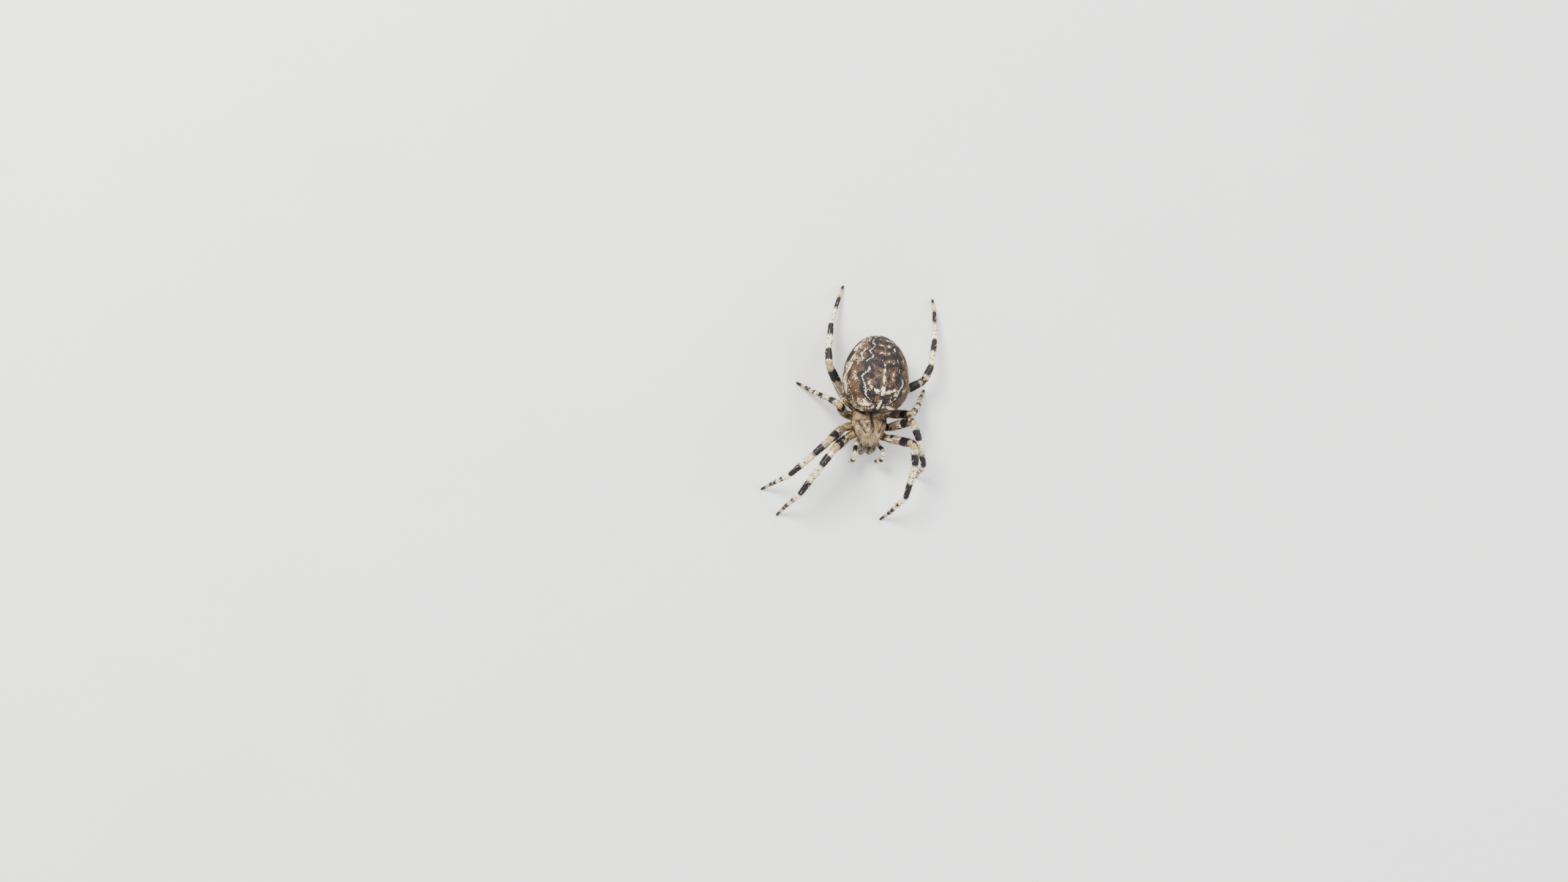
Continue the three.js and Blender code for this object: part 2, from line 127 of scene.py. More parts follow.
# -------- numbers
def smoothstep(low, high, x):
    u = np.clip((x - low) / (high - low), 0, 1)
    return u * u * (3 - 2 * u)


def unit(vectors):
    length = np.linalg.norm(vectors, axis=-1, keepdims=True)
    return vectors / np.maximum(length, 1e-12)


def hump(*offsets):
    """1 where every offset is 0, falling away over an offset of about 1."""
    return np.exp(-sum(np.square(offset) for offset in offsets))


def lattice(cells, seed):
    """A repeatable random number from 0 to 1 for each whole-numbered cell."""
    mixed = cells[..., 0] * 127.1 + cells[..., 1] * 311.7 + cells[..., 2] * 74.7 + seed * 53.3
    return np.modf(np.abs(np.sin(mixed) * 43758.5453))[0]


def noise(points, scale, seed=0, octaves=2):
    """Smooth noise from 0 to 1, with scale bumps to the millimetre."""
    total = 0.0
    for octave in range(octaves):
        p = np.asarray(points) * scale * 2 ** octave + 17.3 * octave
        cell = np.floor(p)
        f = p - cell
        f = f * f * (3 - 2 * f)
        for corner in np.ndindex(2, 2, 2):
            c = np.array(corner)
            share = 0.5 ** octave * np.prod(np.where(c, f, 1 - f), axis=-1)
            total += share * lattice(cell + c, seed + octave)
    return total / (2 - 2 * 0.5 ** octaves)


# -------- skins
class Skin:
    """A closed surface: rows of points from one pole to the other, each row a ring."""

    def __init__(self, points):
        self.points = points
        along = np.gradient(points, axis=0)
        around = np.roll(points, -1, axis=1) - np.roll(points, 1, axis=1)
        normal = np.cross(around, along)
        outward = points - points.mean(axis=1, keepdims=True)
        if np.sum(normal[2:-2] * outward[2:-2]) < 0:
            normal = -normal
        normal[0], normal[-1] = normal[1], normal[-2]
        self.normal = unit(normal)
        self.along = unit(along)
        self.marks = np.zeros_like(points)
        self.fur = np.ones(points.shape[:2])  # how long its hairs are, against the usual

    def pushed(self, distance):
        """The same skin moved outward by a distance, one number or one for each point."""
        moved = Skin(self.points + self.normal * np.asarray(distance)[..., None])
        moved.marks, moved.fur = self.marks, self.fur
        return moved

    def sample(self, count, rng, weight=None):
        """Root points spread evenly over the skin, or by weight, with what hairs need there."""
        rows, columns = self.points.shape[:2]
        du = np.linalg.norm(np.diff(self.points, axis=0), axis=2)
        dv = np.linalg.norm(np.roll(self.points, -1, axis=1) - self.points, axis=2)[:-1]
        share = du * dv
        if weight is not None:
            share = share * weight[:-1]
        picked = rng.choice(share.size, count, p=(share / share.sum()).ravel())
        row, column = np.divmod(picked, columns)
        fr, fc = rng.random((count, 1)), rng.random((count, 1))
        after = (column + 1) % columns

        def at(grid):
            near, far = (grid[r, column] * (1 - fc) + grid[r, after] * fc for r in (row, row + 1))
            return near * (1 - fr) + far * fr

        return dict(
            root=at(self.points), normal=unit(at(self.normal)), along=unit(at(self.along)),
            marks=at(self.marks), fur=self.fur[row, column],
            uv=np.hstack([(column[:, None] + fc) / columns, (row[:, None] + fr) / (rows - 1)]),
        )


def build_mesh(name, points, triangles, uvs, rest, marks):
    """A mesh of triangles with the attributes that the materials read."""
    mesh = bpy.data.meshes.new(name)

    def fill(items, key, values, kind=np.float32):
        items.foreach_set(key, np.asarray(values, kind).ravel())

    mesh.vertices.add(len(points))
    mesh.loops.add(triangles.size)
    mesh.polygons.add(len(triangles))
    fill(mesh.vertices, "co", to_row(points))
    fill(mesh.loops, "vertex_index", triangles, np.int32)
    fill(mesh.polygons, "loop_start", np.arange(0, triangles.size, 3), np.int32)
    fill(mesh.polygons, "use_smooth", np.ones(len(triangles)), bool)
    fill(mesh.uv_layers.new(name="OFBake").uv, "vector", uvs)
    for attribute, values in (("rest", rest), ("marks", marks)):
        mesh.attributes.new(attribute, "FLOAT_VECTOR", "POINT")
        fill(mesh.attributes[attribute].data, "vector", values)
    mesh.update(calc_edges=True)
    mesh.validate()
    return mesh


def add_object(name, data):
    thing = bpy.data.objects.new(name, data)
    scene.collection.objects.link(thing)
    return thing


def add_piece(name, mesh, material, nodes=()):
    piece = add_object(name, mesh)
    mesh.materials.append(material)
    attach(piece, "root")
    if nodes:
        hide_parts(*nodes)


def triangulate(rows, columns, poles):
    """The triangles of a closed grid: their points' numbers, and their places from 0 to 1.

    The last row is one point, a pole, and so is the first where there are two poles.
    """
    rings = rows - poles
    number = np.arange(rings * columns).reshape(rings, columns) + poles - 1
    number = np.pad(number, ((0, 0), (0, 1)), mode="wrap")
    ends = ((0, number.max() + 1), (0, 0))
    number = np.pad(number, ((poles - 1, 1), (0, 0)), constant_values=ends)
    place = np.stack(np.meshgrid(np.linspace(0, 1, columns + 1), np.linspace(0, 1, rows)), axis=-1)
    place[:1, :, 0] += (poles - 1) * 0.5 / columns
    place[-1:, :, 0] -= 0.5 / columns

    def corners(grid):
        """What the grid holds at the corners of two triangles a cell, or of one beside a pole."""
        a, b, c, d = grid[:-1, :-1], grid[:-1, 1:], grid[1:, 1:], grid[1:, :-1]
        near, far = np.stack([a, b, c], axis=2), np.stack([a, c, d], axis=2)
        return np.concatenate([near[poles - 1:], far[:-1]]).reshape(-1, 3, *grid.shape[2:])

    return corners(number), corners(place)


def add_skin(name, skin, material, nodes=()):
    """A skin as a closed mesh, with its first and last rings drawn together into points."""
    points, marks = (
        np.vstack([grid[0].mean(axis=0), grid[1:-1].reshape(-1, 3), grid[-1].mean(axis=0)])
        for grid in (skin.points, skin.marks)
    )
    triangles, uvs = triangulate(*skin.points.shape[:2], poles=2)
    a, b, c = (points[triangles[:, k]] for k in range(3))
    if np.sum(a * np.cross(b, c)) < 0:  # inside out
        triangles, uvs = triangles[:, ::-1], uvs[:, ::-1]
    mesh = build_mesh(name, points, triangles, 0.01 + 0.98 * uvs, points, marks)
    add_piece(name, mesh, material, nodes)


# -------- hairs
HAIR_PATCH = 0.003  # size of a hair's patch on its skin's unwrap
FLOOR_GAP = 0.01  # no hair's tip comes lower than this, mm


def add_strands(name, roots, first, last, length, radius, material, slot, sides=3, rings=2, taper=0.8,
                tip_marks=None):
    """One joined mesh of tapering hairs. Each leaves along first and bends toward last."""
    reach = np.broadcast_to(length, len(first))[:, None]
    clear = (roots["root"] + reach * (first + last) / 2)[:, 2] > FLOOR_GAP
    roots = {key: value[clear] for key, value in roots.items()}
    root, normal, marks = (roots[key][:, None] for key in ("root", "normal", "marks"))
    first, last, reach = (values[clear][:, None] for values in (first, last, reach))
    # A hair's points: a ring at each step from its root, then its tip.
    u = np.append(np.repeat(np.arange(rings) / rings, sides), 1.0)[:, None]
    turn = np.append(np.tile(2 * np.pi * np.arange(sides) / sides, rings), 0.0)[:, None]
    across = unit(np.cross(first, normal + 0.01))
    out = across * np.cos(turn) + np.cross(first, across) * np.sin(turn)
    points = root + reach * (first * (u - u * u / 2) + last * u * u / 2)
    points += radius * (1 - u) ** taper * out
    shades = marks * (1 - u) + (marks if tip_marks is None else np.array(tip_marks)) * u
    count, each = points.shape[:2]
    faces, place = triangulate(rings + 1, sides, poles=1)
    cap = [(0, i + 1, i) for i in range(1, sides - 1)]
    faces = np.vstack([cap, faces])
    place = np.concatenate([[((0, 0), (1, 0), (0, 1))] * len(cap), place])
    triangles = faces + each * np.arange(count)[:, None, None]
    uvs = 0.01 + 0.98 * roots["uv"][:, None, None] + HAIR_PATCH * (place - 0.5)
    rest = np.repeat(roots["root"], each, axis=0)
    mesh = build_mesh(
        name, points.reshape(-1, 3), triangles.reshape(-1, 3), uvs, rest, shades.reshape(-1, 3),
    )
    add_piece(name, mesh, material)


def lying_hairs(name, skin, count, material, slot, seed, length=0.24, radius=0.008, lift=0.25,
                sweep=1.0, weight=None):
    """Short hairs that lean back along the skin, with some scatter."""
    rng = np.random.default_rng(SEED + seed)
    roots = skin.sample(count, rng, weight)
    lie = unit(roots["along"] * sweep + 0.3 * rng.normal(size=(count, 3)))
    lie = unit(lie - roots["normal"] * np.sum(lie * roots["normal"], axis=1, keepdims=True))
    lifts = lift * (0.6 + 0.8 * rng.random((count, 1)))
    first = unit(lie + roots["normal"] * lifts * 2.2)
    last = unit(lie + roots["normal"] * lifts * 0.5)
    lengths = length * (0.6 + 0.7 * rng.random(count)) * roots["fur"]
    add_strands(name, roots, first, last, lengths, radius, material, slot)


# -------- materials
class Nodes:
    """Short ways to add and link the nodes of a material or the world."""

    def __init__(self, owner):
        owner.use_nodes = True
        self.owner = owner
        self.tree = owner.node_tree

    def put(self, node, inputs):
        """Link each named input to a socket, or set it to a constant."""
        for key, value in inputs.items():
            if isinstance(value, bpy.types.NodeSocket):
                self.tree.links.new(value, node.inputs[key])
            else:
                node.inputs[key].default_value = value

    def add(self, kind, inputs=None, output=0, **settings):
        node = self.tree.nodes.new(f"ShaderNode{kind}")
        for key, value in settings.items():
            setattr(node, key, value)
        self.put(node, inputs or {})
        return node.outputs[output]

    def attribute(self, name):
        return self.add("Attribute", output="Vector", attribute_name=name)

    def math(self, operation, a, b):
        return self.add("Math", {0: a, 1: b}, operation=operation)

    def noise(self, vector, scale, detail=3.0, roughness=0.55):
        inputs = {"Vector": vector, "Scale": scale, "Detail": detail, "Roughness": roughness}
        return self.add("TexNoise", inputs, output="Fac")

    def remap(self, value, low, high, to_low=0.0, to_high=1.0, curve="SMOOTHSTEP"):
        inputs = {"Value": value, "From Min": low, "From Max": high, "To Min": to_low, "To Max": to_high}
        return self.add("MapRange", inputs, interpolation_type=curve)

    def mix(self, factor, a, b):
        """From one colour to another. A plain colour is a tuple of three."""
        inputs = {0: factor, 6: a, 7: b}
        inputs = {key: (*v, 1.0) if isinstance(v, tuple) else v for key, v in inputs.items()}
        return self.add("Mix", inputs, output=2, data_type="RGBA")

    def finish(self, colour, roughness, **others):
        """The material, with these on its shader's own sockets."""
        inputs = {"Base Color": colour, "Roughness": roughness}
        inputs.update({key.replace("_", " "): value for key, value in others.items()})
        self.put(self.tree.nodes["Principled BSDF"], inputs)
        return self.owner


def marked_material(name, ground, dark, rust, cream, grain=7.0, granular=0.9, ragged=0.2, shine=0.5,
                    relief=0.02):
    """Ground colour with cream, dark and rust marks from the marks attribute's x, y and z.

    Each is 0.5 at the edge of its marks, and from 1 to 2 rust deepens to brown. Noise makes the
    edges ragged, and the cream breaks up into grains, as a spider's does. Hairs have no relief.
    """
    n = Nodes(bpy.data.materials.new(name))
    rest = n.attribute("rest")
    channels = n.add("SeparateXYZ", {0: n.attribute("marks")}).node.outputs
    fine = n.noise(rest, 6.0, 4.0, 0.6)
    coarse = n.noise(rest, 1.1, 3.0)
    grains = {"Vector": rest, "Scale": grain}
    cell = n.add("TexVoronoi", grains, "Distance", feature="DISTANCE_TO_EDGE")
    middle = n.add("TexVoronoi", grains, "Distance", feature="F1")
    bead = n.math("MULTIPLY", n.math("SUBTRACT", 0.4, middle), granular)
    edge = n.math("MULTIPLY", n.math("SUBTRACT", fine, 0.5), ragged * 2)

    def shown(channel, extra=0.0):
        field = n.math("ADD", n.math("ADD", channels[channel], edge), extra)
        return n.remap(field, 0.43, 0.57)

    def scaled(colour, factor):
        return tuple(min(1.0, factor * c) for c in colour)

    colour = n.mix(n.remap(coarse, 0.35, 0.65), scaled(ground, 1.25), scaled(ground, 0.6))
    colour = n.mix(n.remap(fine, 0.5, 0.75, 0.0, 0.5), colour, scaled(ground, 2.2))
    rusty = n.mix(n.remap(fine, 0.3, 0.7), scaled(rust, 1.15), scaled(rust, 0.55))
    rusty = n.mix(n.remap(channels[2], 1.0, 2.0), rusty, scaled(rust, 0.36))
    colour = n.mix(shown(2), colour, rusty)
    darkened = n.mix(n.remap(fine, 0.55, 0.8, 0.0, 0.4), dark, ground)
    colour = n.mix(shown(1), colour, darkened)
    creamy = n.mix(n.remap(coarse, 0.35, 0.7), cream, scaled(cream, 0.72))
    creamy = n.mix(n.remap(fine, 0.5, 0.72, 0.0, 0.55), creamy, scaled(cream, 0.5))
    broken = n.remap(cell, 0.0, 0.05, 0.62, 1.0)
    colour = n.mix(n.math("MULTIPLY", shown(0, bead), broken), colour, creamy)

    others = {}
    if relief:
        pores = n.math("MULTIPLY", n.noise(rest, 16.0, 2.0), 0.8)
        height = n.math("ADD", n.math("MULTIPLY", cell, 1.5), pores)
        bump = {"Height": height, "Distance": relief * MM, "Strength": 1.0}
        others["Normal"] = n.add("Bump", bump)
    roughness = n.remap(fine, 0.3, 0.7, shine - 0.08, shine + 0.12)
    return n.finish(colour, roughness, Specular_IOR_Level=0.45, **others)


def glossy_material(name, scale, low, dark, light, roughness, **others):
    """A polished dark shell with a faint lighter cloud in it."""
    n = Nodes(bpy.data.materials.new(name))
    cloud = n.remap(n.noise(n.attribute("rest"), scale), low, 0.7)
    return n.finish(n.mix(cloud, dark, light), roughness, **others)


# Each with its ground, dark, rust and cream colours, linear.
ABDOMEN_SKIN = marked_material(
    "abdomen_skin", (0.07, 0.038, 0.021), (0.01, 0.008, 0.01), (0.12, 0.046, 0.02), (0.76, 0.66, 0.45),
    shine=0.48, relief=0.04,
)
ABDOMEN_COAT = marked_material(
    "abdomen_coat", (0.13, 0.082, 0.05), (0.03, 0.022, 0.02), (0.165, 0.08, 0.042), (0.78, 0.69, 0.5),
    relief=0.0,
)
CARAPACE_SKIN = marked_material(
    "carapace_skin", (0.17, 0.098, 0.045), (0.022, 0.013, 0.01), (0.145, 0.068, 0.031), (0.5, 0.38, 0.22),
    grain=12.0, granular=0.5, shine=0.42,
)
PALE_COAT = marked_material(
    "pale_coat", (0.5, 0.42, 0.3), (0.12, 0.085, 0.06), (0.5, 0.32, 0.16), (0.78, 0.72, 0.6), relief=0.0,
)
LEG_SKIN = marked_material(
    "leg_skin", (0.2, 0.15, 0.105), (0.013, 0.01, 0.013), (0.4, 0.27, 0.12), (0.84, 0.74, 0.48),
    grain=9.0, granular=0.4, ragged=0.26, shine=0.46, relief=0.01,
)
LEG_COAT = marked_material(
    "leg_coat", (0.43, 0.375, 0.3), (0.035, 0.027, 0.027), (0.56, 0.43, 0.23), (0.9, 0.82, 0.58),
    grain=9.0, granular=0.4, ragged=0.26, relief=0.0,
)
SPINE = marked_material(
    "spine", (0.32, 0.22, 0.13), (0.04, 0.025, 0.02), (0.4, 0.2, 0.08), (0.72, 0.65, 0.5),
    ragged=0.1, shine=0.35, relief=0.0,
)
SHELL = marked_material(
    "shell", (0.035, 0.021, 0.014), (0.008, 0.007, 0.009), (0.11, 0.052, 0.026), (0.55, 0.42, 0.26),
    grain=11.0, shine=0.22, relief=0.012,
)
EYE = glossy_material(
    "eye", 6.0, 0.4, (0.004, 0.004, 0.006), (0.03, 0.016, 0.01), 0.06,
    Coat_Weight=1.0, Coat_Roughness=0.03, Specular_IOR_Level=0.6,
)
CLAW = glossy_material(
    "claw", 4.0, 0.3, (0.012, 0.008, 0.007), (0.07, 0.02, 0.01), 0.22, Coat_Weight=0.4, Coat_Roughness=0.1,
)


# -------- trunk shapes
def fullness(t, peak, squareness):
    """Rises from 0 at both ends to 1 at peak; squareness above 1 fills it out."""
    bend = np.log(0.5) / np.log(peak)
    u = np.abs(2 * np.power(t, bend) - 1)
    return np.sqrt(np.maximum(0, 1 - u ** (2 * squareness)))


def polar_grid(rows, columns):
    """t from 0 to 1, closer together at both ends, against the section's side and up."""
    t = (1 - np.cos(np.linspace(0, np.pi, rows))) / 2
    angle = 2 * np.pi * np.arange(columns) / columns
    t, angle = np.meshgrid(t, angle, indexing="ij")
    return t, np.sin(angle), np.cos(angle)


def abdomen_surface(t, side, up):
    """A point of the abdomen in its own straight frame."""
    a = ABDOMEN
    width = a["width"] / 2 * fullness(t, 0.42, 1.05)
    rise = a["rise"] * fullness(t, 0.36, 1.05)
    drop = a["drop"] * fullness(t, 0.6, 1.1) ** (2 - np.minimum(1, 2 * t))
    shoulder = hump((t - 0.3) / 0.13, (up - 0.62) / 0.4)
    waist = 1 + 0.45 * np.minimum(0, up) * (1 - t) ** 2
    x = side * width * (1 + 0.05 * shoulder) * waist
    y = a["front"] + (a["rear"] - a["front"]) * t
    axis = a["front_height"] + (a["rear_height"] - a["front_height"]) * t
    z = axis + up * np.where(up > 0, rise * (1 + 0.04 * shoulder), drop)
    return np.stack([x, y, z], axis=-1)


def turn_abdomen(points):
    """From the abdomen's straight frame to the spider's."""
    px, py = ABDOMEN["pedicel"]
    c, s = np.cos(ABDOMEN["yaw"]), np.sin(ABDOMEN["yaw"])
    x, y = points[..., 0] - px, points[..., 1] - py
    return np.stack([c * x + s * y + px, -s * x + c * y + py, points[..., 2]], axis=-1)


def spot(x, y, centre, size, tilt=0):
    """A soft oval mark: 0.5 at its edge, falling away over about a third of a millimetre."""
    c, s = np.cos(np.radians(tilt)), np.sin(np.radians(tilt))
    dx, dy = x - centre[0], y - centre[1]
    u, v = (c * dx + s * dy) / size[0], (-s * dx + c * dy) / size[1]
    return 0.5 + (1 - np.sqrt(u * u + v * v)) * min(size) / 0.3


def band(value, low, high, soft):
    """A soft band: 0.5 at low and high, over 0.5 between."""
    return 0.5 + np.minimum(value - low, high - value) / soft


def highest(*fields):
    return np.maximum.reduce(np.broadcast_arrays(*fields))


# Marks of the back: (sideways, over the back from the abdomen's front end), size and tilt.
CROSS = (
    ((0, 3.55), (0.22, 0.64), 0),
    ((0, 5.0), (0.29, 0.52), 0),
    ((0, 6.15), (0.2, 0.44), 0),
    ((0, 7.05), (0.16, 0.3), 0),
    ((0, 7.8), (0.12, 0.2), 0),
    ((0.76, 4.95), (0.46, 0.2), 10),
    ((1.46, 5.15), (0.24, 0.16), 20),
)
SHOULDER_PATCH = ((1.7, 3.1), (0.95, 0.24), -34)
MUSCLE_PITS = ((0.95, 4.3), (1.25, 6.3), (1.05, 8.3))
FOLIUM = dict(front=3.7, rear=15.4, half_width=2.7, lobe=1.9)
BELLY_MIDDLE = 5.1  # height of the abdomen's middle


def back_arc(points):
    """Distance over the back from the abdomen's front end. It goes on down the rear, mm."""
    half = (ABDOMEN["rear"] - ABDOMEN["front"]) / 2
    y = (points[..., 1] - ABDOMEN["front"] - half) / half
    z = (points[..., 2] - BELLY_MIDDLE) / ABDOMEN["rise"]
    return (np.pi - np.arctan2(z, y)) * (half + ABDOMEN["rise"]) / 2


def abdomen_marks(skin, t, side, up):
    p = skin.points
    x = np.abs(p[..., 0] + 0.2 * (noise(p, 0.7, 3) - 0.5))
    y = p[..., 1] - ABDOMEN["front"]
    arc = back_arc(p) + 0.25 * (noise(p, 0.6, 13) - 0.5)
    angle = np.abs(np.arctan2(side, up))
    stretched = np.stack([angle * 3.9 + 0.35 * y, y * 0.22, 3.0 * np.sign(p[..., 0])], axis=-1)
    ends = smoothstep(0.84, 0.97, t) + smoothstep(0.12, 0.03, t)
    mottle = noise(p, 1.7, 9, 3)
    streaks = noise(stretched, 3.6, 5, 3) * (1 - ends) + mottle * ends
    back = np.maximum(smoothstep(-0.1, 0.25, up), smoothstep(0.9, 0.97, t))
    belly = smoothstep(-0.25, -0.55, up) * smoothstep(0.985, 0.93, t)
    flank = smoothstep(0.66, 0.25, up) * (1 - belly)

    # The leaf-shaped folium, with a scalloped pale line inside a black border.
    leaf = FOLIUM["half_width"] * np.clip((FOLIUM["rear"] - arc) / (FOLIUM["rear"] - 4), 0, 1) ** 0.6
    uneven = noise(p, 0.9, 15)
    leaf *= 1 + 0.13 * np.cos(2 * np.pi * (arc + 0.9 * uneven - 4.6) / FOLIUM["lobe"])
    inside = leaf * np.sqrt(np.clip((arc - FOLIUM["front"]) / 1.3, 0, 1)) - x
    gaps = smoothstep(0.55, 0.68, noise(p, 1.2, 19))
    line = band(inside, -0.02, 0.04 + 0.3 * uneven, 0.4) - 0.45 * gaps
    line = np.where(arc > FOLIUM["front"], line, 0)
    border = band(inside, -0.45, 0.5, 0.45)
    rungs = np.cos(2 * np.pi * (arc - 0.4 * x + 0.25 * (mottle - 0.5)) / 1.25)
    rear_half = smoothstep(6.4, 7.6, arc) * smoothstep(0.05, 0.3, inside)
    bars = (0.5 + 0.5 * (rungs - 0.1)) * rear_half
    pairs = (0.5 + 1.3 * (-rungs - 0.8) - 1.2 * np.abs(x - 0.45) + 0.8 * (mottle - 0.5)) * rear_half
    patches = [spot(x, arc, *patch) for patch in (SHOULDER_PATCH, *CROSS)]
    outside = np.where(inside < -0.45, 0.5 + (mottle - 0.65) * 2.2, 0)
    within = np.where(inside > 0.3, 0.5 + (mottle - 0.72) * 2.2, 0)
    flank_lines = (0.5 + (streaks - 0.56) * 3.8) * flank
    cream = highest(highest(line, outside, within, *patches) * back, pairs, flank_lines)

    pits = [spot(x, arc, place, (0.12, 0.12)) for place in MUSCLE_PITS]
    hollow = (0.5 + (0.5 - 0.12 * rear_half - mottle) * 2.4) * smoothstep(-0.1, 0.3, inside)
    shaded = (0.5 + (0.5 - streaks) * 3.5) * flank
    dark = highest(highest(border, hollow, *pits) * back, bars, shaded)

    # Underside: two pale crescents beside a black middle, dots by the spinnerets, a rusty front.
    crescent = 1.2 + 0.75 * np.sin(np.pi * np.clip((t - 0.3) / 0.5, 0, 1)) ** 0.7
    width = 0.36 * np.sqrt(np.clip((t - 0.34) / 0.1, 0, 1) * np.clip((0.8 - t) / 0.1, 0, 1))
    marbling = smoothstep(0.46, 0.66, noise(p, 2.6, 41, 3))
    moons = np.minimum(0.5 + (width - np.abs(x - crescent)) / 0.3, 0.9) - 0.75 * marbling
    edge_lines = np.where(x > crescent + 0.4, 0.5 + (streaks - 0.55) * 4.5, 0)
    dots = [spot(x, y, place, (0.2, 0.28)) for place in ((0.95, 7.35), (1.0, 8.3))]
    cream = cream * (1 - belly) + highest(moons, edge_lines, *dots) * belly
    between = band(x, -1, np.where(t > 0.33, crescent, 0.35), 0.4) * smoothstep(0.02, 0.06, t)
    beyond = (0.5 + (0.62 - streaks) * 3) * smoothstep(0.3, 0.36, t)
    furrow = band(t, 0.327, 0.345, 0.02)
    blotches = 0.5 + (0.45 - mottle) * 3
    dark = highest(dark * (1 - belly), highest(between, beyond, furrow) * belly, blotches * belly)
    rust = belly * band(t, 0.08, 0.335, 0.08)
    rust = highest(rust, (0.5 + 0.6 * (noise(p, 0.5, 33) - 0.6)) * back * smoothstep(0.1, 0.6, inside))
    skin.marks = np.stack([cream, dark, np.minimum(rust, 1)], axis=-1)


def abdomen_relief(skin, t, up):
    """Muscle pits on the back, the furrow and lungs below and fine wrinkles, in mm outward."""
    p = skin.points
    x, arc = np.abs(p[..., 0]), back_arc(p)
    relief = 0.05 * (noise(p, 1.1, 21, 3) - 0.5) + 0.02 * (noise(p, 5.0, 23) - 0.5)
    back = smoothstep(0.2, 0.5, up)
    for across, along in MUSCLE_PITS:
        relief -= 0.1 * hump((x - across) / 0.15, (arc - along) / 0.15) * back
    furrow = hump((t - 0.335) / 0.012)
    lungs = hump((x - 1.15) / 0.5, (t - 0.27) / 0.045)
    return relief + (0.08 * lungs - 0.12 * furrow) * smoothstep(-0.3, -0.6, up)


def carapace_surface(t, side, up):
    c = CARAPACE
    rim = c["widest_height"]
    thorax = c["thorax_width"] / 2 * fullness(t, 0.62, 1.25)
    head = c["head_width"] / 2 * fullness(t, 0.35, 2.2)
    knob = 0.1 * hump((t - 0.045) / 0.03, (up - 0.3) / 0.25)
    reach = np.abs(side) ** 0.85 * np.maximum(thorax, head) + knob * np.abs(side)
    crown = 0.86 + 0.14 * np.cos((t - 0.27) * np.pi * 1.5)
    fovea = 0.2 * hump((t - 0.62) / 0.1, side / 0.35)
    height = (c["height"] - rim) * fullness(t, 0.36, 1.35) * crown
    z = rim + up * np.where(up > 0, height - fovea, 0.5)
    y = c["front"] + (c["rear"] - c["front"]) * t
    return np.stack([np.sign(side) * reach, y, z], axis=-1)


def make_abdomen():
    t, side, up = polar_grid(250, 360)
    skin = Skin(abdomen_surface(t, side, up))
    abdomen_marks(skin, t, side, up)
    raised = skin.pushed(abdomen_relief(skin, t, up) - COAT)
    skin = Skin(turn_abdomen(raised.points))
    skin.marks = raised.marks
    add_skin("abdomen_skin", skin, ABDOMEN_SKIN, ["abdomen"])
    for i in range(2):
        lying_hairs(f"abdomen_coat_{i}", skin, 9000, ABDOMEN_COAT, "abdomen", 10 + i, lift=0.3)
    lying_hairs("abdomen_bristles", skin, 1800, ABDOMEN_COAT, "abdomen", 14, 0.36, 0.01, 0.7)


def eye_centre(name, side):
    along, degrees, _ = EYES[name]
    angle = np.radians(degrees)
    return carapace_surface(np.array(along), side * np.cos(angle), np.sin(angle))


def make_carapace():
    t, side, up = polar_grid(150, 220)
    skin = Skin(carapace_surface(t, side, up))
    p = skin.points
    x, y = np.abs(p[..., 0]), p[..., 1]
    # The groove between head and thorax, and furrows that fan out from the middle pit.
    fan, away = np.arctan2(x, 0.4 - y), np.hypot(x, y - 0.4)
    furrows = np.cos(fan * 9) * smoothstep(0.3, 0.9, away) * smoothstep(-1.1, -0.5, y)
    groove = hump((x - 0.95 - 0.55 * (y + 1.2)) / 0.13) * smoothstep(-2.0, -1.4, y)
    groove *= smoothstep(0.3, -0.2, y)
    top = smoothstep(0.05, 0.4, up)
    relief = (0.03 * furrows - 0.1 * groove) * top + 0.02 * (noise(p, 2.0, 31, 3) - 0.5)
    mottle = noise(p, 2.0, 8, 3)
    middle = band(x, -1, 0.16 + 0.2 * smoothstep(0.8, -1.8, y), 0.3) + 0.3 * (mottle - 0.6)
    margin = 0.5 + (0.3 - up) * 1.6
    rays = 0.5 + 0.35 * (furrows - 0.75) + 0.5 * (0.5 - mottle)
    rings = [
        0.5 + (0.2 - np.linalg.norm(p - eye_centre(name, sign), axis=-1)) / 0.15
        for name in EYES for sign in SIDES.values()
    ]
    dark = highest(middle * smoothstep(2.3, 0.9, away), margin, rays * top, 0.25 + 0.5 * groove, *rings)
    rust = 0.5 + 0.5 * (noise(p, 0.9, 6) - 0.55) - 0.2 * smoothstep(-1.0, 0.5, y)
    cream = 0.5 + (mottle - 0.64) * 3
    skin.marks = np.stack([cream, dark, rust], axis=-1)
    skin = skin.pushed(relief - COAT / 2)
    skin.points[..., 2] = np.maximum(skin.points[..., 2], RIM_HEIGHT + 0.02)
    skin.fur = 1 - 0.35 * smoothstep(-2.2, -2.8, y)
    add_skin("carapace_skin", skin, CARAPACE_SKIN, ["carapace"])
    crown = smoothstep(0.0, 0.35, up) * (1 + smoothstep(-0.8, -1.8, y))
    lying_hairs("carapace_coat", skin, 5200, PALE_COAT, "carapace", 20, 0.27, 0.0075, 0.2, -1.0, crown)


def make_eyes():
    for side_name, side in SIDES.items():
        for name, (_, _, radius) in EYES.items():
            t, across, up = polar_grid(24, 32)
            ring = 2 * np.sqrt(t * (1 - t))
            ball = np.stack([across * ring, 2 * t - 1, up * ring], axis=-1) * radius
            node = f"eye_{name}_{side_name}"
            add_skin(f"{node}_lens", Skin(eye_centre(name, side) + ball), EYE, [node])


# -------- tubes
END_RINGS = 7


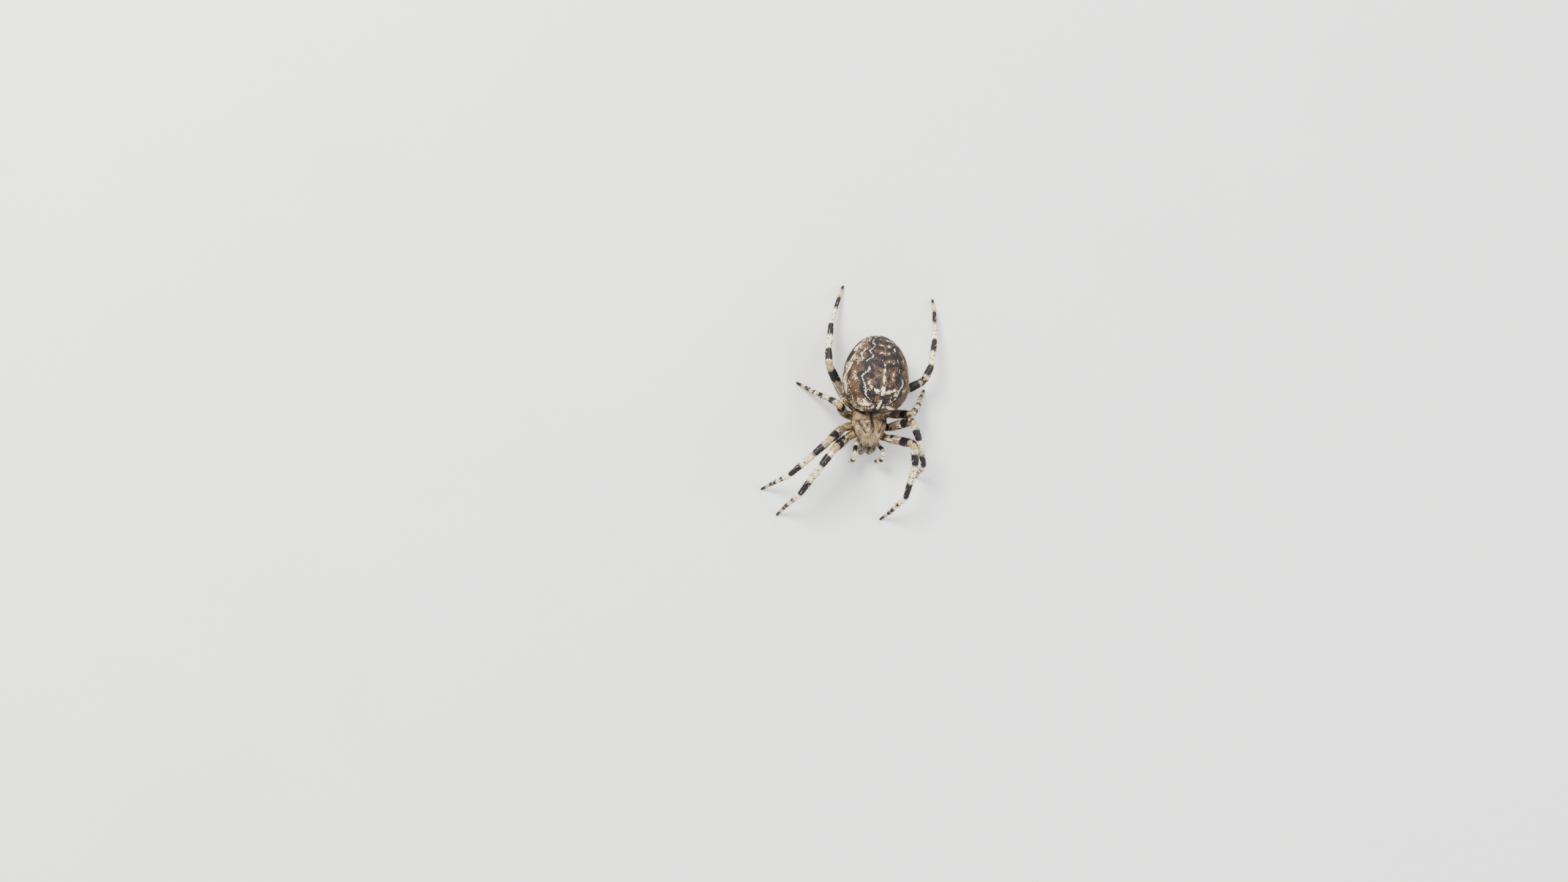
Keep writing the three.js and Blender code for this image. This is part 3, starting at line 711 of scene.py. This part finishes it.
def padded(values):
    """With the first and the last repeated, for the rings that round off a tube's ends."""
    return np.concatenate([[values[0]] * END_RINGS, values, [values[-1]] * END_RINGS])


class Path:
    """Points along a chain of joints with its corners rounded.

    Each has its segment, its share of the way along it, and what is gone and left of it in mm.
    """

    def __init__(self, joints, step=0.05, round_off=0.5):
        joints = np.asarray(joints, float)
        spans = np.diff(joints, axis=0)
        lengths = np.linalg.norm(spans, axis=1)
        directions = spans / lengths[:, None]
        steps = [max(2, round(length / step)) for length in lengths]
        self.segment = np.append(np.repeat(np.arange(len(spans)), steps), len(spans) - 1)
        self.share = np.concatenate([*(np.arange(n) / n for n in steps), [1.0]])
        self.gone = self.share * lengths[self.segment]
        self.left = lengths[self.segment] - self.gone
        self.points = joints[self.segment] + directions[self.segment] * self.gone[:, None]
        for corner in range(1, len(spans)):
            reach = min(round_off, 0.45 * lengths[corner - 1], 0.45 * lengths[corner])
            past = np.where(self.segment < corner, -self.left, self.gone)
            near = np.isin(self.segment, (corner - 1, corner)) & (np.abs(past) < reach)
            u = 0.5 + 0.5 * past[near, None] / reach
            rounded = joints[corner] - directions[corner - 1] * reach * (1 - u) ** 2
            self.points[near] = rounded + directions[corner] * reach * u ** 2

    def between(self, values):
        """Values at the joints, taken evenly between them."""
        values = np.array(values)
        return values[self.segment] * (1 - self.share) + values[self.segment + 1] * self.share


def tube(path, radii, columns):
    """A skin round a path, with round ends. The path's values are padded to match it."""
    tangent = unit(np.gradient(path.points, axis=0))
    up = np.zeros_like(tangent)  # turned as little as can be from one point to the next
    guide = np.array([0.0, 0.0, 1.0])
    for i, t in enumerate(tangent):
        guide = unit(guide - t * np.dot(guide, t) + 1e-6)
        up[i] = guide
    bend = np.linspace(0, np.pi / 2, END_RINGS + 1)[1:]
    bend = np.concatenate([-bend[::-1], np.zeros(len(up)), bend])[:, None]
    points, tangent, up, radii = (padded(v) for v in (path.points, tangent, up, radii[:, None]))
    path.segment, path.share, path.gone = (padded(v) for v in (path.segment, path.share, path.gone))
    centres = points + tangent * radii * np.sin(bend)
    width = np.maximum(radii * np.cos(bend), 1e-4)[:, None]
    angle = 2 * np.pi * np.arange(columns)[:, None] / columns
    ring = up[:, None] * np.cos(angle) + np.cross(tangent, up)[:, None] * np.sin(angle)
    return Skin(centres[:, None] + ring * width)


def leg_joints(name):
    """From the sternum to the toe."""
    side, pair = SIDES[name[0]], LEG_PAIRS[int(name[1])]
    lengths = pair["lengths"]
    joints = [np.array([side * x, y, HIP_HEIGHT]) for x, y in (pair["root"], pair["hip"])]
    for i, (heading, pitch) in enumerate(STANCE[name]):
        if pitch is None:
            tarsus_drop = -lengths[i + 1] * np.sin(np.radians(STANCE[name][i + 1][1]))
            drop = joints[-1][2] - SOLE_HEIGHT - tarsus_drop
            pitch = -np.degrees(np.arcsin(drop / lengths[i]))
        h, p = np.radians((heading, pitch))
        direction = np.array([side * np.cos(p) * np.sin(h), -np.cos(p) * np.cos(h), np.sin(p)])
        joints.append(joints[-1] + direction * lengths[i])
    return joints


# Rings of colour along each segment, from 0 at its near end to 1: (kind, from, to, fullness).
# A fullness of 0.5 leaves half of the ring's area showing what is under it.
LEG_BANDS = {
    "femur": (("rust", -0.3, 0.1, 0.58), ("dark", 0.6, 0.87, 0.85), ("rust", 0.92, 1.1, 1.0)),
    "patella": (("rust", -0.1, 0.18, 1.0), ("cream", 0.22, 0.42, 0.55), ("dark", 0.45, 0.97, 0.85)),
    "tibia": (("cream", 0.02, 0.52, 0.62), ("dark", 0.28, 0.38, 0.52), ("dark", 0.55, 1.05, 1.0)),
    "metatarsus": (("cream", 0.0, 0.3, 1.0), ("dark", 0.32, 0.42, 0.7), ("cream", 0.45, 0.62, 0.9),
                   ("dark", 0.65, 0.8, 0.9), ("dark", 0.87, 1.02, 0.9)),
    "tarsus": (("rust", -0.1, 0.42, 0.56), ("cream", 0.08, 0.3, 0.5), ("dark", 0.48, 1.5, 1.0)),
}
REAR_LEG_BANDS = {
    "patella": (("rust", -0.1, 0.2, 1.0), ("cream", 0.2, 0.34, 0.5), ("dark", 0.32, 1.0, 0.9)),
    "tibia": (("cream", 0.02, 0.53, 1.0), ("dark", 0.56, 1.05, 1.0)),
    "metatarsus": (("cream", 0.0, 0.55, 1.0), ("dark", 0.6, 1.02, 0.95)),
    "tarsus": (("rust", -0.1, 0.66, 0.56), ("cream", 0.1, 0.55, 0.52), ("dark", 0.74, 1.5, 1.0)),
}
PALP_BANDS = {
    "femur": (("cream", 0.1, 0.5, 0.8), ("dark", 0.62, 0.9, 0.8)),
    "patella": (("cream", 0.1, 0.9, 0.6), ("rust", -0.1, 0.2, 0.8)),
    "tibia": (("cream", 0.0, 0.4, 0.9), ("dark", 0.5, 0.95, 0.9)),
    "tarsus": (("cream", 0.05, 0.38, 0.8), ("dark", 0.48, 1.5, 1.0)),
}
KINDS = ("cream", "dark", "rust")  # as in the marks attribute
# Segments with pale streaks and dark clouds between their rings, and how far each is held back.
CLOUDED = {"coxa": (0.13, 0.12), "femur": (0.02, 0.0), "patella": (0.0, 0.0)}
BROWNED = {"coxa": 0.62, "trochanter": 0.5}  # segments all rust, with brown lines, and how brown


def limb_marks(skin, path, names, bands, seed):
    """Rings of colour round a limb, with streaks along its first segments."""
    columns = skin.points.shape[1]
    angle = 2 * np.pi * np.arange(columns) / columns
    gone, share = path.gone[:, None], path.share[:, None]

    def lengthwise(stretch, scale, seed):
        """Streaks that run along the limb."""
        turned = np.broadcast_arrays(np.cos(angle), np.sin(angle), stretch * gone)
        return noise(np.stack(turned, axis=-1), scale, seed, 3)

    streaks = lengthwise(0.35, 2.1, seed)
    brown_lines = lengthwise(0.25, 4.5, seed + 2)
    cloud = noise(skin.points, 1.1, seed + 1, 3)
    wobble = 0.1 * (noise(skin.points, 1.6, seed) - 0.5)
    beneath = smoothstep(0.1, -0.7, np.cos(angle))
    cream, dark, rust = (skin.marks[..., k] for k in range(3))  # changed in place from here on
    for index, name in enumerate(names):
        here = (path.segment == index)[:, None]
        if name in CLOUDED:
            less_pale, less_dark = CLOUDED[name]
            np.copyto(cream, 0.5 + (streaks - 0.56 - less_pale) * 2.0 - 0.2 * share, where=here)
            np.copyto(dark, 0.5 + (cloud - 0.64 - less_dark + 0.1 * share) * 3, where=here)
        if name in BROWNED:
            brown = BROWNED[name] + 4.0 * (0.5 - brown_lines)
            np.copyto(rust, 1 + np.clip(brown, 0, 1), where=here)
            np.maximum(dark, 0.21 + 0.25 * brown, out=dark, where=here)
        for kind, low, high, full in bands.get(name, ()):
            value = np.clip(band(share + wobble, low, high, 0.16), 0, full) * here
            if name == "femur" and kind == "dark":
                value *= 1 - 0.45 * beneath
            layer = skin.marks[..., KINDS.index(kind)]
            np.maximum(layer, value, out=layer)
            if kind != "cream" and full > 0.6:
                np.minimum(cream, 1 - value, out=cream)


def make_limb(joints, radii, swell, names, bands, seed, columns=28, round_off=0.5):
    """A limb's one skin, narrowed at its joints, with its marks and the place of each ring."""
    path = Path(joints, round_off=round_off)
    bulge = 1 + (np.array(swell)[path.segment] - 1) * np.sin(np.pi * path.share) ** 0.8
    neck = 0.22 * hump(path.gone / 0.13) * (path.segment > 0)
    collar = 0.1 * hump(path.left / 0.07) * (path.segment < len(names) - 1)
    trochanter = 0.2 * hump((path.gone - 0.5) / 0.08) * (path.segment == 1)
    width = path.between(radii) * bulge * (1 - neck - collar - trochanter) - COAT
    skin = tube(path, width, columns)
    skin.points[..., 2] = np.maximum(skin.points[..., 2], 0.0)
    limb_marks(skin, path, names, bands, seed)
    return skin, path


# Erect spines: how many rings of them each segment carries, and their length, mm.
SPINES = {"femur": (4, 0.55), "patella": (2, 0.6), "tibia": (5, 0.88), "metatarsus": (5, 0.7)}


def place_spines(skin, path, rng):
    """Rows, columns and lengths of a leg's spines, in rough rings of four."""
    columns = skin.points.shape[1]
    picked = []
    for part, (rings, length) in SPINES.items():
        index = SEGMENTS.index(part)
        for k in range(rings):
            at = index + (k + 0.7 + 0.25 * rng.random()) / (rings + 0.5)
            turn = rng.random()
            for j in range(4):
                row = int(np.argmin(np.abs(path.segment + path.share - at - 0.03 * rng.normal())))
                column = int(columns * ((j + turn + 0.15 * rng.normal()) / 4)) % columns
                picked.append((row, column, length * (0.7 + 0.5 * rng.random())))
    return picked


def add_spines(name, skin, picked, scale):
    """Pale spines, dark at the root, each from a brown dot in the skin."""
    for row, column, _ in picked:
        near = slice(max(0, row - 5), row + 6)
        away = np.linalg.norm(skin.points[near] - skin.points[row, column], axis=-1)
        skin.marks[near, :, 0] = np.minimum(skin.marks[near, :, 0], 0.5 + (away - 0.1) / 0.12)
    rows, columns = skin.points.shape[:2]
    row, column, lengths = (np.array(values) for values in zip(*picked))
    normal, along = skin.normal[row, column], skin.along[row, column]
    roots = dict(
        root=skin.points[row, column] - normal * 0.02, normal=normal,
        marks=np.tile([0.1, 0.65, 0.0], (len(row), 1)),
        uv=np.stack([column / columns, row / (rows - 1)], axis=1),
    )
    first, last = unit(normal + 0.4 * along), unit(normal + 0.8 * along)
    look = dict(sides=5, rings=4, taper=0.75, tip_marks=(1.8, -0.5, 0.0))
    add_strands(f"leg_{name}_spines", roots, first, last, lengths * scale, 0.03, SPINE, "leg", **look)


def add_claws(name, skin):
    """Two curved claws side by side and a small one between them, at the foot's tip."""
    tip = skin.points[-1].mean(axis=0)
    forward = unit((tip - skin.points[-20].mean(axis=0)) * [1, 1, 0])
    across = np.array([forward[1], -forward[0], 0.0])
    offsets = np.array([-0.06, 0.06, 0.0])[:, None]
    roots = dict(
        root=tip - forward * 0.04 + across * offsets + [0, 0, 0.1],
        normal=np.tile([0.0, 0.0, 1.0], (3, 1)), marks=np.zeros((3, 3)),
        uv=np.array([(0.2, 0.5), (0.5, 0.5), (0.8, 0.5)]),
    )
    first = unit(forward + across * offsets * 3 + [0, 0, 0.35])
    last = unit(forward * 0.5 + across * offsets + [0, 0, -0.9])
    look = dict(sides=6, rings=5, taper=0.6)
    add_strands(f"leg_{name}_claws", roots, first, last, (0.3, 0.3, 0.16), 0.036, CLAW, "leg", **look)


HAIR_LENGTHS = np.array([0.8, 1.0, 0.9, 1.0, 0.85, 0.6])  # on each of SEGMENTS


def make_leg(name):
    pair = int(name[1])
    stout = LEG_PAIRS[pair]["stout"]
    bands = LEG_BANDS | REAR_LEG_BANDS if pair == 4 else LEG_BANDS
    radii = [r * stout if k in STOUT_JOINTS else r for k, r in enumerate(LEG_RADII)]
    nodes = [f"leg_{name}_{part}" for part in (*SEGMENTS[:4], "foot")]
    joints = leg_joints(name)
    joints[-1][2] = LEG_RADII[-1] - COAT  # so that the skin of the toe just touches the floor
    skin, path = make_limb(joints, radii, SWELL, SEGMENTS, bands, 40 + pair)
    seed = 100 + 10 * list(STANCE).index(name)
    rng = np.random.default_rng(SEED + seed)
    add_spines(name, skin, place_spines(skin, path, rng), stout)
    add_skin(f"leg_{name}_skin", skin, LEG_SKIN, nodes)
    add_claws(name, skin)
    skin.fur = skin.fur * HAIR_LENGTHS[path.segment][:, None]
    thick = 0.15 + 0.85 * smoothstep(0.3, 1.0, path.segment + path.share)[:, None]
    coat, bristles = f"leg_{name}_coat", f"leg_{name}_bristles"
    lying_hairs(coat, skin, 6500, LEG_COAT, "leg", seed + 1, 0.22, 0.0075, 0.2, weight=thick)
    lying_hairs(bristles, skin, 600, LEG_COAT, "leg", seed + 2, 0.42, 0.008, 0.9, weight=thick)


# -------- mouth, palps and the rest
PALP_JOINTS = (
    (0.75, -1.9, 2.95), (1.2, -2.5, 3.05), (1.8, -3.55, 4.3),
    (1.88, -4.2, 4.1), (1.8, -4.75, 3.3), (1.6, -4.85, 1.9),
)
PALP_RADII = (0.26, 0.27, 0.3, 0.3, 0.32, 0.22)
PALP_SEGMENTS = ("trochanter", "femur", "patella", "tibia", "tarsus")


def make_palp(side_name):
    side = SIDES[side_name]
    joints = np.array(PALP_JOINTS) * [side, 1, 1]
    node = f"palp_{side_name}"
    swell = np.ones(len(PALP_SEGMENTS))
    skin, _ = make_limb(joints, PALP_RADII, swell, PALP_SEGMENTS, PALP_BANDS, 60, 24, 0.3)
    add_skin(f"{node}_skin", skin, LEG_SKIN, [node])
    seed = 300 + (side > 0)
    lying_hairs(f"{node}_coat", skin, 1500, LEG_COAT, "leg", seed, 0.2, 0.0075, 0.3)
    lying_hairs(f"{node}_bristles", skin, 220, LEG_COAT, "leg", seed + 2, 0.4, 0.009, 1.0)


def simple_tube(name, joints, radii, slot, nodes=(), columns=32, marks=(0, 0, 0), relief=0.0,
                pale_tip=0.0, material=SHELL):
    """A short tube along a chain of points with a radius at each."""
    path = Path(joints, 0.03, 0.3)
    path.share = smoothstep(0, 1, path.share)
    skin = tube(path, path.between(radii), columns)
    skin.marks += marks
    gone = (path.segment + path.share) / (len(joints) - 1)
    skin.marks[..., 0] += pale_tip * smoothstep(0.45, 1.0, gone)[:, None]
    if relief:
        skin = skin.pushed(relief * (noise(skin.points, 3.0, 71, 3) - 0.5))
    add_skin(name, skin, material, nodes)
    return skin


def make_mouth():
    for side_name, side in SIDES.items():
        mirror = np.array([side, 1, 1])
        stem = mirror * [(0.62, -2.78, 3.88), (0.59, -3.24, 3.35), (0.52, -3.68, 2.6)]
        fang = mirror * [(0.55, -3.85, 2.42), (0.34, -3.85, 2.2), (0.1, -3.6, 2.12)]
        plate = mirror * [(0.62, -1.66, 2.85), (0.44, -2.15, 2.75)]
        node = f"chelicera_{side_name}"
        look = dict(marks=(0, 0.3, 0.42), relief=0.03)
        skin = simple_tube(f"{node}_shell", stem, (0.46, 0.54, 0.37), "shell", [node], **look)
        lying_hairs(f"{node}_coat", skin, 420, PALE_COAT, "shell", 320 + side, 0.28, 0.008, 0.7)
        simple_tube(f"fang_{side_name}", fang, (0.11, 0.08, 0.012), "shell", columns=16, material=CLAW)
        node = f"maxilla_{side_name}"
        look = dict(marks=(0, 0.4, 0.46), relief=0.02, pale_tip=0.56)
        skin = simple_tube(f"{node}_shell", plate, (0.34, 0.31), "shell", [node], **look)
        lying_hairs(f"{node}_coat", skin, 200, PALE_COAT, "shell", 330 + side, 0.2, 0.008, 0.7)
    lip = ((0, -1.2, 2.75), (0, -1.62, 2.7))
    simple_tube("labium", lip, (0.34, 0.24), "shell", marks=(0, 0.45, 0.4), pale_tip=0.52)


def make_sternum():
    """A heart-shaped shield, domed below, as rings that grow from its middle and close above."""
    s = STERNUM
    rows, columns = 60, 120
    t = np.linspace(0, 1, rows)[:, None]
    angle = 2 * np.pi * np.arange(columns) / columns
    point = 0.22 * np.maximum(0, np.sin(angle)) ** 3
    lobed = 1 + 0.03 * np.cos(8 * angle)
    x = s["half_width"] * np.cos(angle) * (1 - point) * lobed
    y = np.where(np.sin(angle) > 0, s["rear"], -s["front"]) * np.sin(angle) * lobed
    spread = np.sin(np.pi * t) ** 0.5
    top, bottom = RIM_HEIGHT - 0.05, s["bottom"] + COAT / 2
    height = np.where(t < 0.5, bottom + 0.35 * (1 - np.cos(np.pi * t)), top - (1 - t) * 0.2)
    skin = Skin(np.stack([x * spread, y * spread, height + 0 * x], axis=-1))
    skin.points[..., 2] += 0.04 * (noise(skin.points, 2.5, 83, 3) - 0.5) * smoothstep(0.5, 0.4, t)
    skin.marks += (0, 0.8, 0)
    add_skin("sternum_shell", skin, SHELL, ["sternum"])
    below = smoothstep(0.55, 0.45, t)
    lying_hairs("sternum_coat", skin, 700, PALE_COAT, "shell", 340, 0.26, 0.008, 0.6, weight=below)


# Root and tip of each in the abdomen's straight frame, and the radius at each.
SPINNERETS = {
    "middle": ((0, 8.65, 2.6), (0, 8.8, 1.35), 0.36, 0.1),
    "front_left": ((0.42, 8.35, 2.4), (0.3, 8.66, 1.05), 0.4, 0.1),
    "front_right": ((-0.42, 8.35, 2.4), (-0.3, 8.66, 1.05), 0.4, 0.1),
    "rear_left": ((0.4, 8.85, 2.6), (0.3, 9.12, 1.25), 0.37, 0.09),
    "rear_right": ((-0.4, 8.85, 2.6), (-0.3, 9.12, 1.25), 0.37, 0.09),
    "anal_tubercle": ((0, 9.05, 2.8), (0, 9.45, 1.75), 0.36, 0.12),
}


def make_spinnerets():
    for index, (name, (root, tip, wide, narrow)) in enumerate(SPINNERETS.items()):
        root, tip = turn_abdomen(np.array([root, tip]))
        path = Path([root, root * 0.35 + tip * 0.65, tip], 0.03, 0.1)
        ring = 0.16 * hump(path.left / 0.05) * (path.segment == 0)
        skin = tube(path, path.between((wide, wide * 0.72, narrow)) * (1 - ring), 32)
        outer = smoothstep(-0.3, 0.3, path.segment + path.share - 1)[:, None, None]
        skin.marks += [0.1, 0.56, 0.3] + outer * [0.0, -0.1, 0.1]
        skin = skin.pushed(0.02 * (noise(skin.points, 4.0, 71, 3) - 0.5))
        node = f"spinneret_{name}"
        add_skin(node, skin, ABDOMEN_SKIN, ["spinnerets"])
        lying_hairs(f"{node}_coat", skin, 420, ABDOMEN_COAT, "abdomen", 350 + index, 0.22, lift=0.5)


def make_epigyne():
    """The plate at the furrow under the abdomen, with its finger that points back."""
    furrow = abdomen_surface(np.array(0.31), 0.0, -1.0)
    plate = turn_abdomen(furrow + [(0, -0.25, 0.1), (0, 0.05, -0.08), (0, 0.4, -0.05)])
    look = dict(marks=(0, 0.45, 0.42), relief=0.06)
    simple_tube("epigyne_plate", plate, (0.3, 0.34, 0.2), "abdomen", **look)
    finger = turn_abdomen(furrow + [(0, 0, -0.15), (0, 0.4, -0.36), (0, 0.95, -0.3)])
    look = dict(marks=(0, 0.42, 0.44), relief=0.05, columns=20)
    simple_tube("epigyne_finger", finger, (0.2, 0.13, 0.08), "abdomen", **look)


def make_pedicel():
    waist = ((0, 2.0, 4.0), (0.15, 3.3, 3.8))
    look = dict(marks=(0, 0.4, 0.46), relief=0.04, material=ABDOMEN_SKIN)
    simple_tube("pedicel_skin", waist, (0.36, 0.36), "abdomen", ["pedicel"], **look)


# -------- stage
def make_floor():
    bpy.ops.mesh.primitive_plane_add(size=3.0)
    floor = bpy.context.object
    floor.name = "floor"
    n = Nodes(bpy.data.materials.new("floor"))
    place = n.add("TexCoord", output="Object")
    colour = n.mix(n.noise(place, 40.0), (0.58, 0.58, 0.565), (0.62, 0.62, 0.605))
    floor.data.materials.append(n.finish(colour, 0.6))


def add_light(name, place, size, power, colour=(1, 1, 1)):
    """A round lamp, aimed at the spider."""
    light = bpy.data.lights.new(name, "AREA")
    light.shape = "DISK"
    light.size = size
    light.energy = power
    light.color = colour
    lamp = add_object(name, light)
    lamp.location = place
    lamp.rotation_euler = (Vector((0, 0, 0.005)) - lamp.location).to_track_quat("-Z", "Y").to_euler()


def make_world():
    """A pale room, brighter overhead, so that the far floor ends in the tone behind it."""
    world = bpy.data.worlds.new("studio")
    n = Nodes(world)
    place = n.add("TexCoord", output="Generated")
    height = n.add("SeparateXYZ", {0: place}, output="Z")
    brightness = n.remap(height, 0.0, 1.0, 0.47, 0.95, "LINEAR")
    n.put(n.tree.nodes["Background"], {"Color": (0.93, 0.96, 1.0, 1.0), "Strength": brightness})
    scene.world = world


def make_light():
    add_light("key", (-0.28, 0.22, 0.42), 0.22, 5.6, (1.0, 0.98, 0.95))
    add_light("fill", (0.4, -0.1, 0.3), 0.4, 1.7, (0.95, 0.98, 1.0))
    add_light("rim", (0.1, 0.45, 0.2), 0.2, 1.6)
    add_light("front", (-0.1, -0.5, 0.16), 0.3, 1.1)
    make_world()
    scene.view_settings.look = "AgX - Medium High Contrast"


# The photograph's frame, in its own pixels, and where the spider's box lies in it.
FRAME_WIDTH, FRAME_HEIGHT = 2560, 1440
SPIDER_AT = (1402, 657)
PIXELS_PER_MM = 13.5
LENS, SENSOR = 50.0, 36.0
ROLL = np.radians(15)  # how far the line of sight leans from the vertical, to the right flank


def make_camera():
    """Opposite the photo's camera on its line of sight, with the spider's box at SPIDER_AT."""
    low, high = (Vector(corner) for corner in cad_bounds)
    pixel = MM / PIXELS_PER_MM
    offset = Vector((
        (FRAME_WIDTH / 2 - SPIDER_AT[0]) * pixel,
        (SPIDER_AT[1] - FRAME_HEIGHT / 2) * pixel,
        LENS / SENSOR * FRAME_WIDTH * pixel,
    ))
    data = bpy.data.cameras.new("camera")
    data.lens = LENS
    data.sensor_width = SENSOR
    data.clip_start = 0.01
    camera = add_object("camera", data)
    camera.rotation_euler = (0, -ROLL, 0)
    camera.location = (low + high) / 2 + camera.rotation_euler.to_matrix() @ offset
    scene.camera = camera


make_camera()
make_floor()
make_light()
make_abdomen()
make_carapace()
make_eyes()
for leg_name in STANCE:
    make_leg(leg_name)
for side_name in SIDES:
    make_palp(side_name)
make_mouth()
make_sternum()
make_spinnerets()
make_epigyne()
make_pedicel()
